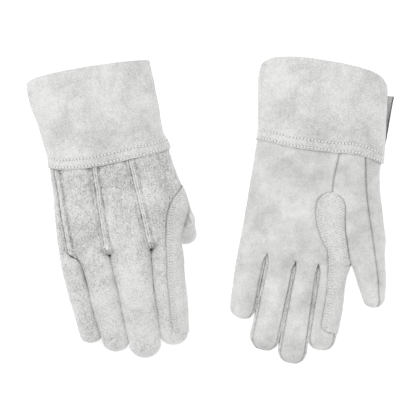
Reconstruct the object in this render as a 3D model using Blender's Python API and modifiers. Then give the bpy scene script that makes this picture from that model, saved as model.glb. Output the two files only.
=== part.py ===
"""A pair of short-cuffed leather welding gloves, lying on a flat surface.

The right glove lies palm down, with its thumb bent under it as a prop. The left glove lies palm up.
Each glove is a shell of leather panels that a hand fills. Lengths are in metres, +Z is up, and the
fingers point towards -Y.

A glove is drawn in its own flat frame: x runs across the hand towards the thumb, s runs from the
cuff's seam towards the fingertips, and heights are above the middle of the shell, towards the back
of the hand. Angles round a section start at the back of the hand and grow towards the thumb.
"""

import math

import bmesh
import bpy
from mathutils import Vector

MM = 0.001
LEATHER = 1.4 * MM  # thickness of every panel
GAP = 0.5 * MM  # clearance between pieces that move, or that lie on each other
SEAM_GAP = 0.9 * MM  # width of a seam line between two panels
HAND_START = -9 * MM  # how far the hand panels reach up inside the cuff
BAND_TOP = -12 * MM  # where the sewn band of the cuff ends and its free sleeve begins
CUFF_EDGE = 2 * MM  # lower cut edge of the cuff, on the hand
THREAD_ROWS = (("lower", 0.2 * MM), ("upper", -6.8 * MM))
THREAD_RADIUS = 0.45 * MM
WELT_RADIUS = 1.0 * MM
HAND_SQUARENESS = 0.78  # exponent of the hand's oval: 1 is an ellipse, less is boxier
DIGIT_SQUARENESS = 0.9
SIDE_SEAM = math.radians(125)  # from the middle of a finger's back to the seam with its front
BAND_SIDES = 32
DIGIT_SIDES = 12
STRAP_CLEARANCE = 2.4 * MM  # room that the strap leaves at a crease, where it folds on the palm side


def mm(*knots):
    """Knots given in millimetres, as metres."""
    return tuple((a * MM, b * MM) for a, b in knots)


def track(knots, at):
    """A smooth curve through knots of (position, value), held level past both ends."""
    if at <= knots[0][0]:
        return knots[0][1]
    if at >= knots[-1][0]:
        return knots[-1][1]
    i = next(k for k in range(len(knots) - 1) if at <= knots[k + 1][0])

    def slope(k):
        low, high = knots[max(k - 1, 0)], knots[min(k + 1, len(knots) - 1)]
        return (high[1] - low[1]) / (high[0] - low[0])

    (a, start), (b, end) = knots[i], knots[i + 1]
    t, span = (at - a) / (b - a), b - a
    rise = 3 * t * t - 2 * t ** 3
    level = start * (1 - rise) + end * rise
    return level + span * (slope(i) * (t ** 3 - 2 * t * t + t) + slope(i + 1) * (t ** 3 - t * t))


def spread(low, high, count):
    """count values from low to high."""
    return [low + (high - low) * k / (count - 1) for k in range(count)]


def power(value, exponent):
    return math.copysign(abs(value) ** exponent, value)


class Digit:
    """A finger or the free end of the thumb. Widths, thicknesses and heights run along its length."""

    def __init__(self, name, root, lean, length, widths, thicks, heights, knuckle=0, bend=0):
        self.name = name
        self.root = (root[0] * MM, root[1] * MM)
        self.lean = math.radians(lean)  # turn of its axis towards the thumb
        self.length = length * MM
        self.widths = mm(*widths)  # half its width
        self.thicks = mm(*thicks)  # half its thickness
        self.heights = mm(*heights)  # height of its middle line
        self.knuckle = knuckle * MM  # distance from its root to its middle joint
        self.bend = math.radians(bend)  # turn towards the palm as the glove lies


class Glove:
    """The sizes of one glove and where it lies."""

    def __init__(self, name, wrist, turn, back_up, **sizes):
        self.name = name
        self.wrist = Vector((wrist[0] * MM, wrist[1] * MM, wrist[2] * MM))
        self.turn = math.radians(turn)
        self.up = 1 if back_up else -1  # which way the back of the hand faces
        self.__dict__.update(sizes)

    def world(self, x, s, height):
        """A point of the glove's flat frame, in the model's frame."""
        across = Vector((math.cos(self.turn), math.sin(self.turn), 0))
        along = Vector((math.sin(self.turn), -math.cos(self.turn), 0))
        return self.wrist + across * x + along * s + Vector((0, 0, height))

    def middle_height(self, x, s):
        """Height of the middle of the hand's shell: the thumb's side can lie higher or lower."""
        share = min(max((x - 22 * MM) / (34 * MM), 0), 1)
        share *= share * (3 - 2 * share)
        return track(self.hand_heights, s) * (1 - share) + track(self.thumb_heights, s) * share


def oval(half_width, half_thick, angle, squareness, lift=0.0):
    """A point of a squared-off ellipse, pushed outwards by lift, as (across, height)."""
    sine, cosine = math.sin(angle), math.cos(angle)
    across, height = half_width * power(sine, squareness), half_thick * power(cosine, squareness)
    outwards = Vector(
        (power(sine, 2 - squareness) / half_width, power(cosine, 2 - squareness) / half_thick)
    ).normalized()
    return across + outwards.x * lift, height + outwards.y * lift


def hand_sizes(glove, s):
    """Middle, half width and half thickness of the hand's section."""
    left, right = track(glove.left_edge, s), track(glove.right_edge, s)
    return (left + right) / 2, (right - left) / 2, track(glove.half_thick, s)


def hand_point(glove, s, angle, lift=0.0):
    """A point of the hand's outer face, or lift above it, in the model's frame."""
    middle, half_width, half_thick = hand_sizes(glove, s)
    across, height = oval(half_width, half_thick, angle, HAND_SQUARENESS, lift)
    x = middle + across
    return glove.world(x, s, glove.middle_height(x, s) + glove.up * height)


def hand_angle(glove, s, x, palm_side=False):
    """The angle round the hand's section at which its face is at x."""
    middle, half_width, _ = hand_sizes(glove, s)
    share = min(max((x - middle) / half_width, -1), 1)
    angle = math.asin(power(share, 1 / HAND_SQUARENESS))
    return math.pi - angle if palm_side else angle


def back_edge(glove, seam, inset=0.0):
    """The angle of a line on the back of the hand, moved towards the thumb by inset."""
    return lambda s: hand_angle(glove, s, track(glove.seams[seam], s) + inset)


def palm_edge(glove, seam, inset=0.0):
    """The angle of a line on the palm side, moved towards the thumb by inset."""
    return lambda s: hand_angle(glove, s, track(glove.seams[seam], s) + inset, palm_side=True)


def place_on_digit(glove, digit, across, v, height):
    """A digit's own (across, along, height) in the model's frame, bent at its root's back edge."""
    level = track(digit.heights, v)
    along, rise = v, level + glove.up * height
    if digit.bend:
        pivot = digit.heights[0][1] + glove.up * track(digit.thicks, 0)
        down = glove.up * (pivot - rise)
        along = v * math.cos(digit.bend) - down * math.sin(digit.bend)
        rise = pivot - glove.up * (v * math.sin(digit.bend) + down * math.cos(digit.bend))
    x = digit.root[0] + across * math.cos(digit.lean) + along * math.sin(digit.lean)
    s = digit.root[1] - across * math.sin(digit.lean) + along * math.cos(digit.lean)
    return glove.world(x, s, rise)


def digit_point(glove, digit, v, angle, lift=0.0, shrink=1.0, v_size=None):
    """A point of a digit's tube at distance v from its root, in the model's frame."""
    size = v if v_size is None else v_size
    across, height = oval(
        track(digit.widths, size), track(digit.thicks, size), angle, DIGIT_SQUARENESS, lift
    )
    return place_on_digit(glove, digit, across * shrink, v, height * shrink)


def crease(glove, digit, v):
    """The middle of a finger's palm-side face at v: its joint's axis crosses there."""
    return place_on_digit(glove, digit, 0, v, -track(digit.thicks, v))


def root_line(glove, x, _height):
    """Where the hand's panels stop at x: the nearest root plane, so that no finger is reached."""
    margin = 4 * MM
    return min(
        digit.root[1] - (x - digit.root[0]) * math.tan(digit.lean)
        for digit in glove.digits[:4]
        if abs(x - digit.root[0]) < track(digit.widths, 0) + margin
    )


def thumb_line(glove, x, height):
    """Where the thumb's panels stop: its root plane, mitred where the thumb is bent."""
    thumb = glove.digits[4]
    depth = track(thumb.thicks, 0) - height
    level = thumb.root[1] - (x - thumb.root[0]) * math.tan(thumb.lean)
    return level - max(depth, 0) * math.tan(thumb.bend / 2)


def new_object(name, mesh, material, pivot):
    """An object whose mesh is drawn about its pivot."""
    obj = bpy.data.objects.new(name, mesh)
    obj.location = pivot
    bpy.data.collections["welding_gloves"].objects.link(obj)
    mesh.materials.append(bpy.data.materials[material])
    return obj


def sheet(glove, name, rows, material, pivot=None, closed=False, tip=None):
    """A panel of leather whose outer face runs through rows of points, and may end in a point."""
    pivot = pivot or glove.wrist
    form = bmesh.new()
    grid = [[form.verts.new(point - pivot) for point in row] for row in rows]
    count = len(rows[0])
    for low, high in zip(grid, grid[1:]):
        for j in range(count if closed else count - 1):
            k = (j + 1) % count
            form.faces.new((low[j], high[j], high[k], low[k]))
    if tip is not None:
        end = form.verts.new(tip - pivot)
        for j in range(count):
            form.faces.new((grid[-1][j], end, grid[-1][(j + 1) % count]))
    if glove.up < 0:
        bmesh.ops.reverse_faces(form, faces=form.faces)
    mesh = bpy.data.meshes.new(name)
    form.to_mesh(mesh)
    form.free()
    mesh.shade_smooth()
    obj = new_object(f"{glove.name}_{name}", mesh, material, pivot)
    shell = obj.modifiers.new("leather", "SOLIDIFY")
    shell.thickness = LEATHER
    shell.offset = -1
    return obj


def tube(glove, name, points, radius, sides, material, cyclic=False):
    """A round strip or thread through points."""
    curve = bpy.data.curves.new(name, "CURVE")
    curve.dimensions = "3D"
    curve.bevel_depth = radius
    curve.bevel_resolution = sides
    curve.use_fill_caps = not cyclic
    spline = curve.splines.new("POLY")
    spline.points.add(len(points) - 1)
    spline.use_cyclic_u = cyclic
    for point, place in zip(spline.points, points):
        point.co = (*(place - glove.wrist), 1)
    return new_object(f"{glove.name}_{name}", curve, material, glove.wrist)


def hand_panel(glove, name, edges, columns, rows, material, stop=root_line, start=HAND_START, lift=0.0):
    """A panel of the hand between two lines, each given as its angle at s."""
    near, far = edges
    finish = glove.digits[4].root[1] if stop is thumb_line else glove.digits[2].root[1]
    middle, half_width, half_thick = hand_sizes(glove, finish)
    grid = []
    for share in spread(0, 1, columns):
        angle = near(finish) + (far(finish) - near(finish)) * share
        across, height = oval(half_width, half_thick, angle, HAND_SQUARENESS)
        end = stop(glove, middle + across, height) - 1.8 * GAP
        grid.append(
            [
                hand_point(glove, s, near(s) + (far(s) - near(s)) * share, lift)
                for s in spread(start, end, rows)
            ]
        )
    return sheet(glove, name, list(zip(*grid)), material)


def hand_panels(glove):
    half = SEAM_GAP / 2
    hand_panel(
        glove, "palm_panel", (palm_edge(glove, "palm", -half), palm_edge(glove, "ulnar", half)),
        11, 7, "palm_leather",
    )
    ulnar = palm_edge(glove, "ulnar", -half)
    little_ring = back_edge(glove, "little_ring", -half)
    hand_panel(
        glove, "back_panel_little", (ulnar, lambda s: little_ring(s) + math.tau),
        7, 7, "back_leather",
    )
    for name, columns, left, right in (
        ("ring", 6, "little_ring", "ring_middle"),
        ("middle", 5, "ring_middle", "middle_index"),
        ("index", 8, "middle_index", "radial"),
    ):
        edges = (back_edge(glove, left, half), back_edge(glove, right, -half))
        hand_panel(glove, f"back_panel_{name}", edges, columns, 7, "back_leather")
    hand_panel(
        glove, "thumb_front_panel",
        (palm_edge(glove, "thumb", -half), palm_edge(glove, "palm", half)),
        5, 7, "palm_leather", stop=thumb_line,
    )
    hand_panel(
        glove, "thumb_back_panel",
        (back_edge(glove, "radial", half), palm_edge(glove, "thumb", half)),
        8, 7, "back_leather", stop=thumb_line,
    )


def strap_legs(glove):
    """The reinforcing strap's two legs, on the palm and on the back, beside the thumb."""
    for side, edge in (("palm", palm_edge), ("back", back_edge)):
        left, right = edge(glove, f"strap_{side}_left"), edge(glove, f"strap_{side}_right")
        start = glove.seams[f"strap_{side}_left"][0][0]
        hand_panel(
            glove, f"strap_{side}_leg", (right, left) if side == "palm" else (left, right),
            5, 8, "strap_leather", start=start, lift=1.6 * GAP + LEATHER,
        )


def welts(glove):
    reach = glove.digits[1].root[1] - 6 * MM
    for seam in ("little_ring", "ring_middle", "middle_index"):
        angle = back_edge(glove, seam)
        places = [
            hand_point(glove, s, angle(s), WELT_RADIUS + GAP / 2)
            for s in spread(CUFF_EDGE + 2 * MM, reach, 9)
        ]
        tube(glove, f"welt_{seam}", places, WELT_RADIUS, 1, "welt_leather")


def cuff_point(glove, s, angle, lift=0.0, reach=0.0):
    """A point of the cuff's outer face. The cuff follows the hand at the band and opens above it."""
    middle, half_width, half_thick = hand_sizes(glove, max(s, HAND_START))
    if s < HAND_START:
        left, right = track(glove.cuff_left, s), track(glove.cuff_right, s)
        middle, half_width = (left + right) / 2, (right - left) / 2
        half_thick = track(glove.cuff_half_thick, s)
    across, height = oval(
        half_width, half_thick, angle, HAND_SQUARENESS, lift + 1.7 * GAP + LEATHER
    )
    x = middle + across
    return glove.world(x + reach, s, glove.middle_height(x, s) + glove.up * height)


def cuff_band(glove):
    """The band sewn round the wrist, with its two rows of thread."""
    turns = [math.tau * k / BAND_SIDES for k in range(BAND_SIDES)]
    rows = [[cuff_point(glove, s, turn) for turn in turns] for s in spread(BAND_TOP, CUFF_EDGE, 3)]
    sheet(glove, "cuff_band", rows, "cuff_leather", closed=True)
    for name, s in THREAD_ROWS:
        ring = [cuff_point(glove, s, turn, THREAD_RADIUS + GAP / 2) for turn in turns]
        tube(glove, f"cuff_thread_{name}", ring, THREAD_RADIUS, 0, "thread", cyclic=True)


def cuff_sleeve(glove):
    """The free part of the cuff, slit on the thumb's side. It folds up about its top face."""
    foot = BAND_TOP - GAP
    hinge = cuff_point(glove, foot, 0 if glove.up > 0 else math.pi)
    grid = []
    for share in spread(0, 1, 23):
        rim = track(glove.rim, share) * MM
        flap = glove.flap * MM * max(0, (share - 0.86) / 0.14) ** 1.5
        column = []
        for rise in spread(0, 1, 5):
            slit = math.radians(6.5 - 5 * rise)
            angle = math.pi / 2 + slit + (math.tau - 2 * slit) * share
            s = rim + (foot - rim) * rise
            column.append(cuff_point(glove, s, angle, reach=flap * (1 - rise) ** 1.6))
        grid.append(column)
    sheet(glove, "cuff_sleeve", list(zip(*grid)), "cuff_leather", pivot=hinge)


def digit_rows(glove, digit, start, stop, angles, count, lift=0.0):
    return [
        [digit_point(glove, digit, v, angle, lift) for angle in angles]
        for v in spread(start, stop, count)
    ]


def digit_end(glove, digit, start, name, material, pivot):
    """The closed end of a digit: a tube whose last rings shrink to a round tip."""
    angles = [math.tau * k / DIGIT_SIDES for k in range(DIGIT_SIDES)]
    thick, mitre = track(digit.thicks, start), math.tan(digit.bend / 2)
    shoulder = digit.length - 0.9 * track(digit.widths, digit.length)
    rows = []
    for share in spread(0, 1, 3):
        row = []
        for angle in angles:
            depth = thick - oval(1, thick, angle, DIGIT_SQUARENESS)[1]
            first = start + depth * mitre
            row.append(digit_point(glove, digit, first + (shoulder - first) * share, angle))
        rows.append(row)
    for degrees in (28, 52, 74):
        dome = math.radians(degrees)
        v = shoulder + (digit.length - shoulder) * math.sin(dome)
        rows.append([digit_point(glove, digit, v, angle, 0, math.cos(dome)) for angle in angles])
    end = place_on_digit(glove, digit, 0, digit.length, 0)
    sheet(glove, name, rows, material, pivot, closed=True, tip=end)


def finger_base(glove, digit):
    """The near part of a finger: a back and a front panel, or one tube for the little finger."""
    stop, pivot = digit.knuckle - GAP / 2, crease(glove, digit, 0)
    if digit.name == "little":
        angles = [math.tau * k / DIGIT_SIDES for k in range(DIGIT_SIDES)]
        rows = digit_rows(glove, digit, GAP / 2, stop, angles, 3)
        sheet(glove, "little_base", rows, "back_leather", pivot, closed=True)
        return
    inset = SEAM_GAP / 2 / track(digit.thicks, 0)
    for side, low, high, sides, material in (
        ("back", -SIDE_SEAM + inset, SIDE_SEAM - inset, 10, "back_leather"),
        ("front", SIDE_SEAM + inset, math.tau - SIDE_SEAM - inset, 6, "palm_leather"),
    ):
        rows = digit_rows(glove, digit, GAP / 2, stop, spread(low, high, sides), 3)
        sheet(glove, f"{digit.name}_{side}", rows, material, pivot)


def fingers(glove):
    for digit in glove.digits[:4]:
        finger_base(glove, digit)
        pivot = crease(glove, digit, digit.knuckle)
        start = digit.knuckle + GAP / 2
        digit_end(glove, digit, start, f"{digit.name}_tip", "palm_leather", pivot)


def index_straps(glove):
    """The strap goes on along the thumb's side of the index finger, in one piece for each part.

    It leaves room at each crease on the palm side, where it lies outside the joint's axis.
    """
    index = glove.digits[3]
    angles = spread(math.radians(4), math.radians(176), 9)
    stop = index.length - 0.9 * track(index.widths, index.length)
    for name, start, end, joint, cleared in (
        ("index_strap", GAP / 2, index.knuckle - GAP / 2, 0, STRAP_CLEARANCE),
        ("index_strap_tip", index.knuckle + GAP / 2, stop, index.knuckle, 0),
    ):
        rows = []
        for share in spread(0, 1, 3):
            row = []
            for angle in angles:
                palm_side = min(max((angle - math.radians(110)) / math.radians(40), 0), 1)
                first = start + STRAP_CLEARANCE * palm_side
                last = end - cleared * palm_side
                v = first + (last - first) * share
                row.append(digit_point(glove, index, v, angle, 1.2 * GAP + LEATHER))
            rows.append(row)
        sheet(glove, name, rows, "strap_leather", crease(glove, index, joint))


def thumb_end(glove):
    """The free end of the thumb, hinged at its outer side where it is bent, else at its crease."""
    thumb = glove.digits[4]
    pivot = crease(glove, thumb, 0)
    if thumb.bend:
        pivot = place_on_digit(glove, thumb, track(thumb.widths, 0), 0, 0)
    digit_end(glove, thumb, GAP, "thumb_end", "palm_leather", pivot)


def make_materials():
    """Plain leathers: a smooth palm, a rougher split back, and white thread."""
    for name, grey, roughness in (
        ("palm_leather", 0.72, 0.75),
        ("back_leather", 0.68, 0.9),
        ("cuff_leather", 0.70, 0.85),
        ("strap_leather", 0.70, 0.8),
        ("welt_leather", 0.66, 0.9),
        ("thread", 0.85, 0.6),
    ):
        material = bpy.data.materials.new(name)
        material.use_nodes = True
        shader = material.node_tree.nodes["Principled BSDF"]
        shader.inputs["Base Color"].default_value = (grey, grey, grey * 0.985, 1)
        shader.inputs["Roughness"].default_value = roughness


RIGHT = Glove(
    "right", wrist=(-91, 46.4, 0), turn=9, back_up=True,
    left_edge=mm((-9, -53), (0, -54), (30, -55), (60, -57), (88, -57)),
    right_edge=mm((-9, 52), (0, 54), (20, 57), (35, 61), (50, 65), (72, 67), (80, 58), (90, 52)),
    half_thick=mm((-9, 19), (30, 19), (60, 16.5), (88, 13)),
    hand_heights=mm((-84, 22.62), (-9, 24), (30, 30), (60, 36), (88, 38)),
    thumb_heights=mm((-9, 24), (30, 26), (72, 31), (88, 36)),
    cuff_left=mm((-84, -61), (-60, -61), (-40, -56.5), (-9, -53)),
    cuff_right=mm((-84, 48), (-40, 48.5), (-16, 49), (-9, 52)),
    cuff_half_thick=mm((-84, 20.5), (-9, 19)), flap=0,
    rim=((0, -76), (0.15, -80), (0.25, -82), (0.5, -79), (0.62, -82), (0.75, -84), (1, -82)),
    seams={
        "little_ring": mm((-9, -49), (40, -49), (84, -47.5)),
        "ring_middle": mm((-9, -14.8), (70, -14.6), (88, -13)),
        "middle_index": mm((-9, 17.5), (30, 20.7), (88, 25)),
        "radial": mm((-9, 48), (35, 56), (60, 58.5), (70, 57), (80, 53), (88, 50.5)),
        "ulnar": mm((-9, -46), (88, -50)),
        "palm": mm((-9, 17.5), (35, 16), (50, 22), (66, 34), (78, 41), (88, 50)),
        "thumb": mm((-9, 39), (35, 47), (60, 53), (72, 55)),
        "strap_palm_left": mm((32, 13), (35, 7), (42, 3), (52, 4.5), (70, 15), (80, 22), (88, 27)),
        "strap_palm_right": mm((32, 18), (35, 25), (42, 29), (52, 31), (70, 36), (88, 43)),
        "strap_back_left": mm((36, 57.5), (40, 54.5), (50, 47.5), (62, 42.5), (80, 39.4), (88, 38.2)),
        "strap_back_right": mm((36, 60.4), (50, 63), (66, 64), (76, 58), (88, 49.5)),
    },
    digits=(
        Digit("little", (-48.2, 86), 5.6, 77, ((0, 8.7), (77, 9)), ((0, 12.5), (77, 10.5)),
              ((0, 33), (30, 29), (54, 18), (77, 7.5)), knuckle=34),
        Digit("ring", (-25.8, 87), 4.2, 87.5, ((0, 12.7), (87, 11.1)), ((0, 12.5), (87, 10.5)),
              ((0, 37), (35, 33), (62, 20), (87.5, 6.8)), knuckle=39),
        Digit("middle", (5.9, 88), -0.3, 96, ((0, 17.6), (12, 16.6), (34, 14), (95, 13)),
              ((0, 12.5), (95, 11)), ((0, 38), (40, 34), (68, 20.5), (96, 7)), knuckle=43),
        Digit("index", (37.8, 88), -4, 88.5, ((0, 12.9), (87, 11.8)), ((0, 12), (87, 10.5)),
              ((0, 38), (35, 34), (62, 21), (88.5, 8)), knuckle=39),
        Digit("thumb", (56.5, 72), 3, 38, ((0, 11.6), (38, 9.6)), ((0, 11.5), (38, 9.5)),
              ((0, 28.4), (38, 28.4)), bend=58),
    ),
)
LEFT = Glove(
    "left", wrist=(99.4, 52.6, 0), turn=-9, back_up=False,
    left_edge=mm((-9, -56), (0, -57), (30, -57.5), (60, -58), (101, -58.5)),
    right_edge=mm((-9, 55), (0, 56), (15, 57), (29, 60), (57, 68), (85, 75), (96, 77), (101, 77)),
    half_thick=mm((-9, 19), (30, 19), (70, 17), (101, 13)),
    hand_heights=mm((-84, 21.8), (-9, 23.4), (30, 22), (70, 19.12), (101, 18.1)),
    thumb_heights=mm((-9, 23.4), (30, 24), (70, 26), (101, 27)),
    cuff_left=mm((-84, -62), (-62, -63), (-48, -61.5), (-34, -59.5), (-9, -56)),
    cuff_right=mm((-84, 49), (-64, 50), (-40, 52), (-9, 55)),
    cuff_half_thick=mm((-84, 20.5), (-9, 19)), flap=5.5,
    rim=((0, -63), (0.04, -71), (0.1, -77), (0.25, -81.5), (0.38, -77.5), (0.45, -72), (0.5, -64),
         (0.6, -62), (1, -60)),
    seams={
        "little_ring": mm((-9, -49), (95, -37)),
        "ring_middle": mm((-9, -14.8), (70, -12), (101, -6.4)),
        "middle_index": mm((-9, 17.5), (30, 19), (101, 14.4)),
        "radial": mm((-9, 50), (35, 55), (60, 57), (80, 52), (96, 45), (101, 42)),
        "ulnar": mm((-9, -48), (101, -52)),
        "palm": mm((-9, 17.5), (35, 16), (50, 21), (70, 31), (96, 42), (101, 42)),
        "thumb": mm((-9, 39.5), (20, 44.5), (42, 50), (67, 58), (89, 65), (96, 66)),
        "strap_palm_left": mm((35, 13), (38.5, 7), (46, 3.4), (56, 4.2), (69, 8.2), (80, 14.4),
                              (87, 19.7), (95, 22), (101, 22)),
        "strap_palm_right": mm((35, 18), (38.5, 26), (47, 30), (57, 31), (69, 33.6), (82, 37),
                               (96, 40), (101, 40)),
        "strap_back_left": mm((40, 54), (45, 50), (56, 45), (70, 40), (90, 32), (101, 29)),
        "strap_back_right": mm((40, 57), (48, 57), (66, 54), (80, 49), (101, 40)),
    },
    digits=(
        Digit("little", (-45.5, 99), -1.2, 61, ((0, 12.8), (30, 12), (61, 10.6)),
              ((0, 11), (61, 9.5)), ((0, 16), (30, 18), (61, 25)), knuckle=29),
        Digit("ring", (-19.2, 101), -2.9, 84, ((0, 13.1), (84, 13)), ((0, 12.5), (84, 10.5)),
              ((0, 18), (38, 20), (84, 30)), knuckle=38),
        Digit("middle", (4.4, 103), -0.9, 89.5, ((0, 10), (25, 11), (60, 12), (89, 12.6)),
              ((0, 12), (89, 10.5)), ((0, 18), (40, 20), (89, 32)), knuckle=41),
        Digit("index", (28.2, 101), -0.6, 76, ((0, 13.2), (30, 12.4), (76, 12)),
              ((0, 12), (76, 10.5)), ((0, 18), (36, 20), (76, 28)), knuckle=36),
        Digit("thumb", (60.5, 96.5), 14, 36, ((0, 14.2), (18, 12.4), (36, 10)),
              ((0, 12), (36, 9.5)), ((0, 27), (36, 31))),
    ),
)


def main():
    for obj in list(bpy.data.objects):
        bpy.data.objects.remove(obj)
    collection = bpy.data.collections.new("welding_gloves")
    bpy.context.scene.collection.children.link(collection)
    make_materials()
    for glove in (RIGHT, LEFT):
        hand_panels(glove)
        strap_legs(glove)
        welts(glove)
        cuff_band(glove)
        cuff_sleeve(glove)
        fingers(glove)
        index_straps(glove)
        thumb_end(glove)


main()
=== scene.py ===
"""Visual model of a pair of short-cuffed leather welding gloves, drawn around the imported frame.

Work is in millimetres until a mesh is made. A glove has its own flat frame: x runs across the hand
towards the thumb, s runs from the cuff's seam to the fingertips, and heights are above the middle
of the shell, towards the back of the hand. Angles round a section start at the back and grow
towards the thumb. A strip is a grid of points: its columns run round the hand and then the digit,
and its row numbers p are 0 at the digit's root, negative on the hand and positive on the digit.
"""

import math

import bmesh
import bpy
import numpy as np
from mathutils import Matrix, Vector
from mathutils.bvhtree import BVHTree


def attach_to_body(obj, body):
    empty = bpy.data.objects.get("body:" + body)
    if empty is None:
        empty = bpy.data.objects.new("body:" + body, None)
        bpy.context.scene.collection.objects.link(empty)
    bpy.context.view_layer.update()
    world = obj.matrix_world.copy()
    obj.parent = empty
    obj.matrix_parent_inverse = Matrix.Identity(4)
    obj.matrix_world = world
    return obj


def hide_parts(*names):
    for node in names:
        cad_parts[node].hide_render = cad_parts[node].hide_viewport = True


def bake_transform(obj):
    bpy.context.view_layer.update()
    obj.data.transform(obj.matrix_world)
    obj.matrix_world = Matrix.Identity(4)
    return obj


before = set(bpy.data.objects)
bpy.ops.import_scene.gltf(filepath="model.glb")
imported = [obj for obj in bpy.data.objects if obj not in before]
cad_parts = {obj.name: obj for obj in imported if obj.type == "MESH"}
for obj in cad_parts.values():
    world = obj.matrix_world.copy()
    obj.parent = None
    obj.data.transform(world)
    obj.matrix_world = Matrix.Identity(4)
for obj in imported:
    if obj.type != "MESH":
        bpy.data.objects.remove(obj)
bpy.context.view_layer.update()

MM = 0.001
LEATHER_THICK, STRAP_THICK, BAND_THICK, SLEEVE_THICK = 1.4, 1.3, 1.5, 1.6
STRAP_LIFT = 1.25
STRAP_ROWS = (2.2, 4.6)  # the stitch rows' distances from the strap's edge
CUFF_ROWS = (("lower", 0.2), ("upper", -6.8))  # and from the cuff's seam
STRAP_STITCH = {"pitch": 2.5, "length": 1.6, "radius": 0.42}
CUFF_STITCH = {"pitch": 3.1, "length": 2.5, "radius": 0.72}
HAND_START = -9.0  # the hand's leather starts here, inside the cuff's band
BAND_TOP = -12.0
CUFF_EDGE = 2.0
CUFF_LIFT = 2.4
HAND_SQUARENESS = 0.78
DIGIT_SQUARENESS = 0.9
SIDE = math.radians(125)
LITTLE_SIDE = math.radians(92)  # the little finger's outer seam runs along its side
BACK_LEG_END = math.radians(93)  # the strap's back leg goes this far round the hand
THUMB_INNER = math.radians(-95)
THUMB_SEAM = math.radians(157)
THUMB = 4
BORDERS = ("little_ring", "ring_middle", "middle_index", "radial")
STRIP_COLS = {"back": 52, "front": 30}
THUMB_COLS = {"back": 56, "front": 34}
FIRST_ROW = -100
HAND_ROWS = np.concatenate([
    np.linspace(FIRST_ROW, -15, 64), np.linspace(-14, -3, 14),
    [-2.3, -1.7, -1.2, -0.8, -0.45, -0.2, 0.0],
])
ROOT_ROW = len(HAND_ROWS) - 1
TIP_STEPS = np.radians([8, 16, 24, 32, 40, 48, 56, 63, 70, 76, 81, 85.5, 90])


# ------------------------------------------------------------------ curves and noise


def track(knots, at):
    """A smooth curve through knots of (position, value), held level past both ends."""
    xs, ys = np.array(knots, float).T
    at = np.asarray(at, float)
    n = len(xs)
    after, before = np.minimum(np.arange(n) + 1, n - 1), np.maximum(np.arange(n) - 1, 0)
    slopes = (ys[after] - ys[before]) / (xs[after] - xs[before])
    i = np.clip(np.searchsorted(xs, at, "right") - 1, 0, n - 2)
    span = xs[i + 1] - xs[i]
    t = np.clip((at - xs[i]) / span, 0, 1)
    rise = 3 * t * t - 2 * t**3
    level = ys[i] * (1 - rise) + ys[i + 1] * rise
    return level + span * (slopes[i] * (t**3 - 2 * t * t + t) + slopes[i + 1] * (t**3 - t * t))


def smooth(t):
    t = np.clip(t, 0, 1)
    return t * t * (3 - 2 * t)


def falling(distance, width, exponent=1.0):
    """1 at distance 0, and 0 from width on."""
    return np.clip(1 - distance / width, 0, 1) ** exponent


def bell(distance, width):
    return np.exp(-((distance / width) ** 2))


def unit(vectors):
    return vectors / np.maximum(np.linalg.norm(vectors, axis=-1, keepdims=True), 1e-9)


def power(value, exponent):
    return np.copysign(np.abs(value) ** exponent, value)


def noise(points, size, seed):
    """Smooth value noise from -1 to 1 at points in millimetres."""
    q = np.asarray(points, float) / size + 37.7 * seed
    cell = np.floor(q).astype(np.int64)
    f = q - cell
    f = f * f * (3 - 2 * f)

    def corner(dx, dy, dz):
        """A hash of the cell's corner."""
        n = (cell[..., 0] + dx) * 374761393 + (cell[..., 1] + dy) * 668265263
        n = (n + (cell[..., 2] + dz) * 1440662683 + seed * 97463477) & 0xFFFFFFFF
        n = ((n ^ (n >> 13)) * 1274126177) & 0xFFFFFFFF
        n = ((n ^ (n >> 16)) * 2246822519) & 0xFFFFFFFF
        return ((n >> 8) & 0xFFFF) / 32767.5 - 1

    total = 0
    for dx in (0, 1):
        for dy in (0, 1):
            for dz in (0, 1):
                weight = (f[..., 0] if dx else 1 - f[..., 0]) * (f[..., 1] if dy else 1 - f[..., 1])
                weight = weight * (f[..., 2] if dz else 1 - f[..., 2])
                total = total + corner(dx, dy, dz) * weight
    return total


def mix(a, b, share):
    share = np.asarray(share, float)
    if share.ndim == np.ndim(a) - 1:
        share = share[..., None]
    return a + (b - a) * share


def relax(points, times):
    """Evens out a grid or line of points a little, ends held."""
    points = points.copy()
    for _ in range(times):
        points[1:-1] = 0.25 * points[:-2] + 0.5 * points[1:-1] + 0.25 * points[2:]
    return points


def neighbours(grid):
    return grid[2:, 1:-1] + grid[:-2, 1:-1] + grid[1:-1, 2:] + grid[1:-1, :-2]


# ------------------------------------------------------------------ the gloves' sizes


class Digit:
    def __init__(self, name, root, lean, length, widths, thicks, heights, knuckle=0, bend=0):
        self.name, self.root, self.lean, self.length = name, root, math.radians(lean), length
        self.widths, self.thicks, self.heights = widths, thicks, heights
        self.knuckle, self.bend = knuckle, math.radians(bend)


class Glove:
    def __init__(self, name, wrist, turn, back_up, **sizes):
        self.name, self.wrist, self.up = name, np.array(wrist, float), 1 if back_up else -1
        turn = math.radians(turn)
        self.across = np.array((math.cos(turn), math.sin(turn), 0))
        self.along = np.array((math.sin(turn), -math.cos(turn), 0))
        self.bare_edge = sizes["right_edge"]
        self.__dict__.update(sizes)

    def world(self, x, s, height):
        x, s, height = np.broadcast_arrays(x, s, height)
        rise = height[..., None] * np.array((0, 0, 1.0))
        return self.wrist + self.across * x[..., None] + self.along * s[..., None] + rise

    def local(self, points):
        """World points in the glove's flat frame, as (x, s, height)."""
        rel = points - self.wrist
        return np.stack([rel @ self.across, rel @ self.along, rel[..., 2]], axis=-1)

    def middle_height(self, x, s):
        thumb_from, thumb_to = 22, 56
        share = smooth((x - thumb_from) / (thumb_to - thumb_from))
        return track(self.hand_heights, s) * (1 - share) + track(self.thumb_heights, s) * share


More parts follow.
